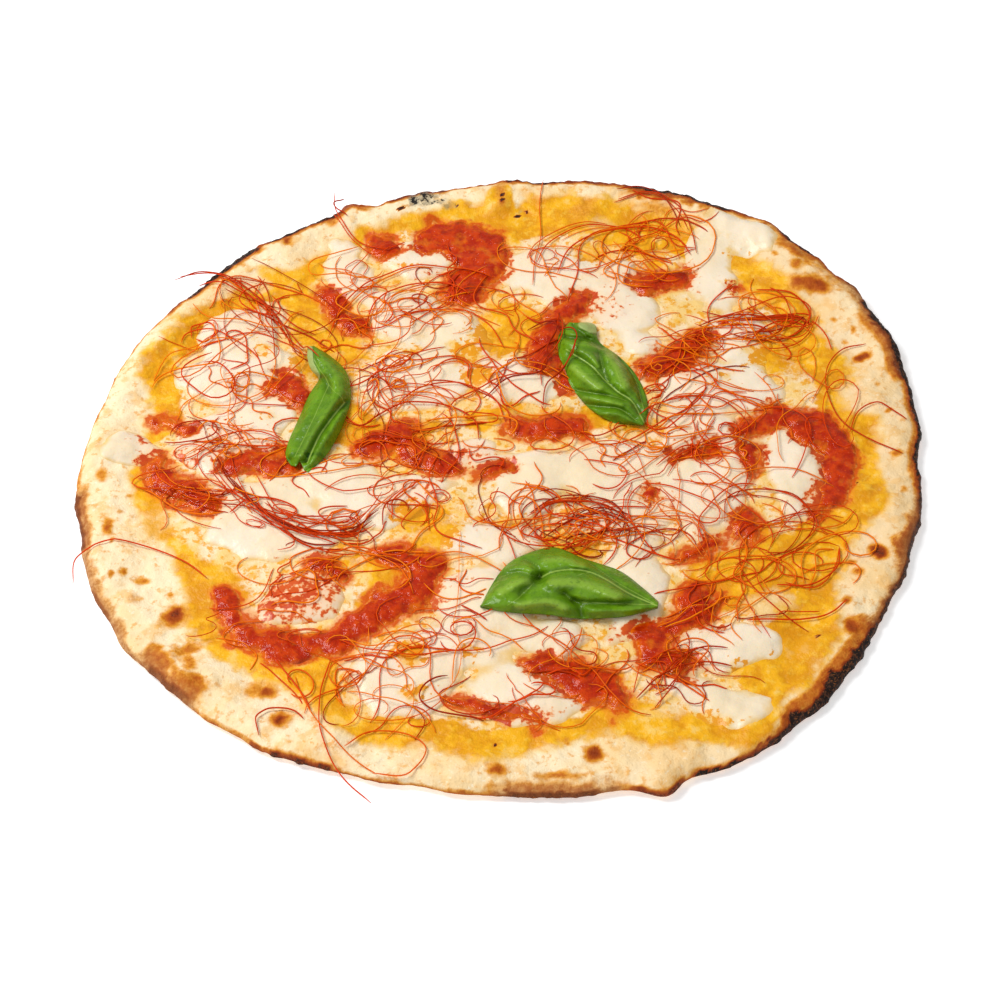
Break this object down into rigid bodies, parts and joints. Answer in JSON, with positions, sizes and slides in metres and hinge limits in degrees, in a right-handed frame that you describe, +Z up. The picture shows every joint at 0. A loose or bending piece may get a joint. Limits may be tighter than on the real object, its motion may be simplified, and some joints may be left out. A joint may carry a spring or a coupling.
{
  "type": "margherita pizza",
  "caption": "Round thin-crust pizza, whole, with a low browned rim, melted mozzarella, tomato sauce, basil leaves and tangles of fine chilli threads.",
  "frame": {"origin": "middle of the crust's flat underside, under the middle of its plan box", "axes": "+Z up through the toppings, +X to the right and +Y to the far side as the pizza lies in front of a diner"},
  "size_m": [0.3134, 0.3066, 0.0154],
  "materials": {
    "baked_dough": "thin baked wheat dough, floury cream with tan, brown and charred patches at the rim",
    "melted_mozzarella": "melted mozzarella, warm white, smooth and slightly oily",
    "tomato_sauce": "cooked tomato sauce, red to orange, wet and lumpy",
    "basil_leaf": "fresh basil leaf, green, waxy with pale veins",
    "dried_chilli": "fine curled threads of dried red chilli, dark red to orange"
  },
  "bodies": {
    "root": {"basil_leaf_1": "basil_leaf", "basil_leaf_2": "basil_leaf", "basil_leaf_3": "basil_leaf", "chilli_threads_01": "dried_chilli", "chilli_threads_02": "dried_chilli", "chilli_threads_03": "dried_chilli", "chilli_threads_04": "dried_chilli", "chilli_threads_05": "dried_chilli", "chilli_threads_06": "dried_chilli", "chilli_threads_07": "dried_chilli", "chilli_threads_08": "dried_chilli", "chilli_threads_09": "dried_chilli", "chilli_threads_10": "dried_chilli", "chilli_threads_11": "dried_chilli", "chilli_threads_12": "dried_chilli", "chilli_threads_13": "dried_chilli", "crust": "baked_dough", "mozzarella_01": "melted_mozzarella", "mozzarella_02": "melted_mozzarella", "mozzarella_03": "melted_mozzarella", "mozzarella_04": "melted_mozzarella", "mozzarella_05": "melted_mozzarella", "mozzarella_06": "melted_mozzarella", "mozzarella_07": "melted_mozzarella", "mozzarella_08": "melted_mozzarella", "tomato_sauce_01": "tomato_sauce", "tomato_sauce_02": "tomato_sauce", "tomato_sauce_03": "tomato_sauce", "tomato_sauce_04": "tomato_sauce", "tomato_sauce_05": "tomato_sauce", "tomato_sauce_06": "tomato_sauce", "tomato_sauce_07": "tomato_sauce", "tomato_sauce_08": "tomato_sauce", "tomato_sauce_09": "tomato_sauce", "tomato_sauce_10": "tomato_sauce", "tomato_sauce_11": "tomato_sauce", "tomato_sauce_12": "tomato_sauce", "tomato_sauce_13": "tomato_sauce", "tomato_sauce_14": "tomato_sauce", "tomato_sauce_15": "tomato_sauce", "tomato_sauce_16": "tomato_sauce", "tomato_sauce_17": "tomato_sauce", "tomato_sauce_18": "tomato_sauce", "tomato_sauce_19": "tomato_sauce", "tomato_sauce_20": "tomato_sauce"}
  },
  "joints": []
}
